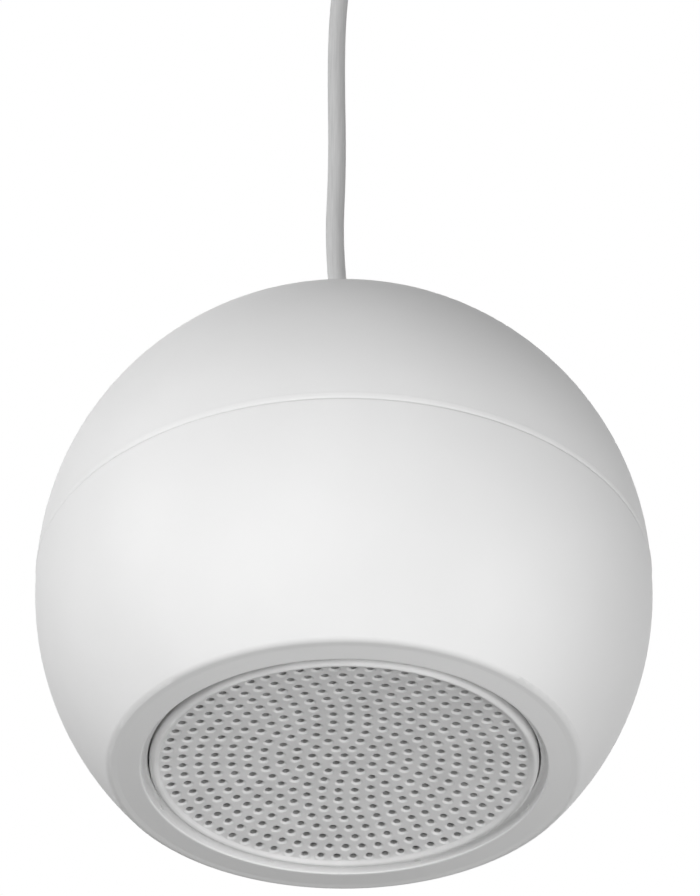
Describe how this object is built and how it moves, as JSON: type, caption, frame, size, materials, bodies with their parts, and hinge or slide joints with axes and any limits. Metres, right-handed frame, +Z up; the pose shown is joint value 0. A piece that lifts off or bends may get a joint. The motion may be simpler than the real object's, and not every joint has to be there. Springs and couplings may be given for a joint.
{
  "type": "pendant ball loudspeaker",
  "caption": "White ball loudspeaker that hangs from the ceiling by its grey cable, with a round perforated grille facing down.",
  "frame": {"origin": "on the ceiling plane, over the cable: the centre of the line between the bracket's two fixing slots", "axes": "+Z up out of the ceiling fixing, the cable and the ball hang along -Z; +X along the line of the two fixing slots; -Y is the side that the picture looks from"},
  "size_m": [0.1874, 0.1874, 0.3769],
  "materials": {
    "shell_white": "satin, fine moulded texture",
    "cable_grey": "satin PVC sheath",
    "lead_white": "smooth PVC insulation",
    "seal_black": "matte",
    "grommet_grey": "matte",
    "zinc_steel": "bright zinc plated",
    "basket_black": "powder coated, satin",
    "pole_steel": "plated",
    "ferrite": "ground ferrite",
    "copper_wire": "enamelled winding wire",
    "former_foil": "thin foil",
    "cone_paper": "pressed fibre, matte",
    "surround_rubber": "matte",
    "spider_cloth": "resin-dipped cloth",
    "tag_brass": "tinned brass on a pressed board",
    "lamination": "varnished laminations",
    "block_ivory": "moulded nylon",
    "wadding": "loose polyester felt"
  },
  "bodies": {
    "housing": {"upper_shell": "shell_white", "lower_shell": "shell_white", "shell_seal": "seal_black", "shell_screws": "zinc_steel", "grille": "shell_white", "damping_lining": "wadding", "driver_basket": "basket_black", "driver_gasket": "seal_black", "driver_screws": "zinc_steel", "top_plate": "pole_steel", "magnet": "ferrite", "back_plate": "pole_steel", "surround": "surround_rubber", "spider": "spider_cloth", "driver_tags": "tag_brass", "suspension_plate": "zinc_steel", "plate_screws": "zinc_steel", "cable_collar": "zinc_steel", "collar_screw": "zinc_steel", "cable_grommet": "grommet_grey", "cable_cores": "lead_white", "terminal_block": "block_ivory", "terminal_screws": "tag_brass", "transformer_core": "lamination", "transformer_winding": "copper_wire", "transformer_strap": "zinc_steel", "transformer_screws": "zinc_steel", "transformer_leads": "lead_white", "speaker_leads": "lead_white", "cable": "cable_grey", "ceiling_bracket": "zinc_steel", "bracket_nuts": "zinc_steel", "threaded_nipple": "zinc_steel", "canopy": "shell_white", "cord_grip": "shell_white", "grip_screw": "zinc_steel", "ceiling_terminal_block": "block_ivory", "ceiling_terminal_screws": "tag_brass", "ceiling_leads": "lead_white"},
    "cone_assembly": {"voice_coil_former": "former_foil", "voice_coil": "copper_wire", "cone": "cone_paper", "dust_cap": "cone_paper"}
  },
  "joints": [
    {"name": "cone_travel", "type": "slide", "parent": "housing", "child": "cone_assembly", "axis": [0, 0, -1], "range_m": [-0.002, 0.002], "stiffness_N_per_m": 1800, "deforming": ["surround", "spider"]}
  ]
}
